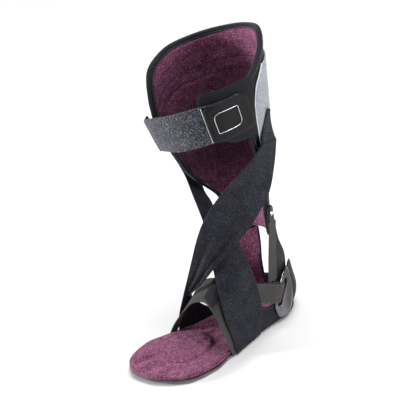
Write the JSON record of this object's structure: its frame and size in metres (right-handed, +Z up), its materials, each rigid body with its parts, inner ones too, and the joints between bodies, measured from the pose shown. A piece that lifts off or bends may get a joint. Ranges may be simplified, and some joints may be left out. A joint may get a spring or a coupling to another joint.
{
  "type": "ankle foot orthosis",
  "caption": "Left ankle foot orthosis: sulcus-length foot plate, velour-lined calf shell on side struts, crossed elastic straps and a hook-and-loop calf strap.",
  "frame": {"origin": "underside of the foot plate, below the middle of the heel", "axes": "+Z up the leg, toes towards -Y, +X is the lateral side of a left foot"},
  "size_m": [0.1368, 0.2212, 0.3479],
  "materials": {
    "shell": "satin black thermoplastic",
    "velour": "burgundy velour",
    "textile": "black woven textile",
    "elastic": "charcoal elastic webbing",
    "loop": "mottled grey brushed loop fabric",
    "panel": "light grey loop felt",
    "webbing": "warm grey webbing",
    "trim": "white piping",
    "rubber": "matt moulded rubber",
    "gloss": "silvery mauve glossy plastic",
    "steel": "polished metal"
  },
  "bodies": {
    "foot": {"foot_plate": "shell", "insole": "velour", "forefoot_pad": "velour", "heel_cup": "textile", "heel_buckle": "gloss", "heel_strap": "webbing", "instep_band": "webbing", "instep_tab": "textile", "lateral_strut": "shell", "medial_strut": "shell", "lateral_strut_lining": "velour", "medial_strut_lining": "velour", "rear_webbing": "webbing", "top_cross_strap": "elastic", "under_cross_strap": "elastic"},
    "calf": {"calf_shell": "shell", "calf_lining": "velour", "rim_binding": "textile", "loop_panel": "panel", "panel_piping": "trim", "front_flap": "textile", "ring_keeper": "textile", "lateral_rivet": "steel", "medial_rivet": "steel"},
    "ring": {"strap_ring": "shell"},
    "strap": {"calf_strap": "loop", "closure_pad": "rubber", "pad_frame": "steel", "hook_patch": "textile"},
    "top_end": {"top_strap_end": "elastic"},
    "under_end": {"under_strap_end": "elastic"}
  },
  "joints": [
    {"name": "ankle_flex", "type": "hinge", "parent": "foot", "child": "calf", "pos_m": [0, 0.012, 0.078], "axis": [1, 0, 0], "range_deg": [-15, 12], "stiffness_Nm_per_rad": 25, "deforming": ["lateral_strut", "medial_strut", "lateral_strut_lining", "medial_strut_lining", "rear_webbing", "top_cross_strap", "under_cross_strap"]},
    {"name": "ring_swing", "type": "hinge", "parent": "calf", "child": "ring", "pos_m": [-0.0533, -0.0589, 0.241], "axis": [0, 0.2851, -0.9585], "range_deg": [0, 12]},
    {"name": "calf_strap_swing", "type": "hinge", "parent": "ring", "child": "strap", "pos_m": [-0.053, -0.0643, 0.241], "axis": [0, 0.2851, -0.9585], "range_deg": [0, 100]},
    {"name": "top_end_peel", "type": "hinge", "parent": "calf", "child": "top_end", "pos_m": [0.0517, 0.003, 0.2365], "axis": [-0.4279, 0.8547, -0.2939], "range_deg": [0, 50]},
    {"name": "under_end_peel", "type": "hinge", "parent": "calf", "child": "under_end", "pos_m": [-0.0517, 0.003, 0.2365], "axis": [-0.4279, -0.8547, 0.2939], "range_deg": [0, 50]}
  ]
}
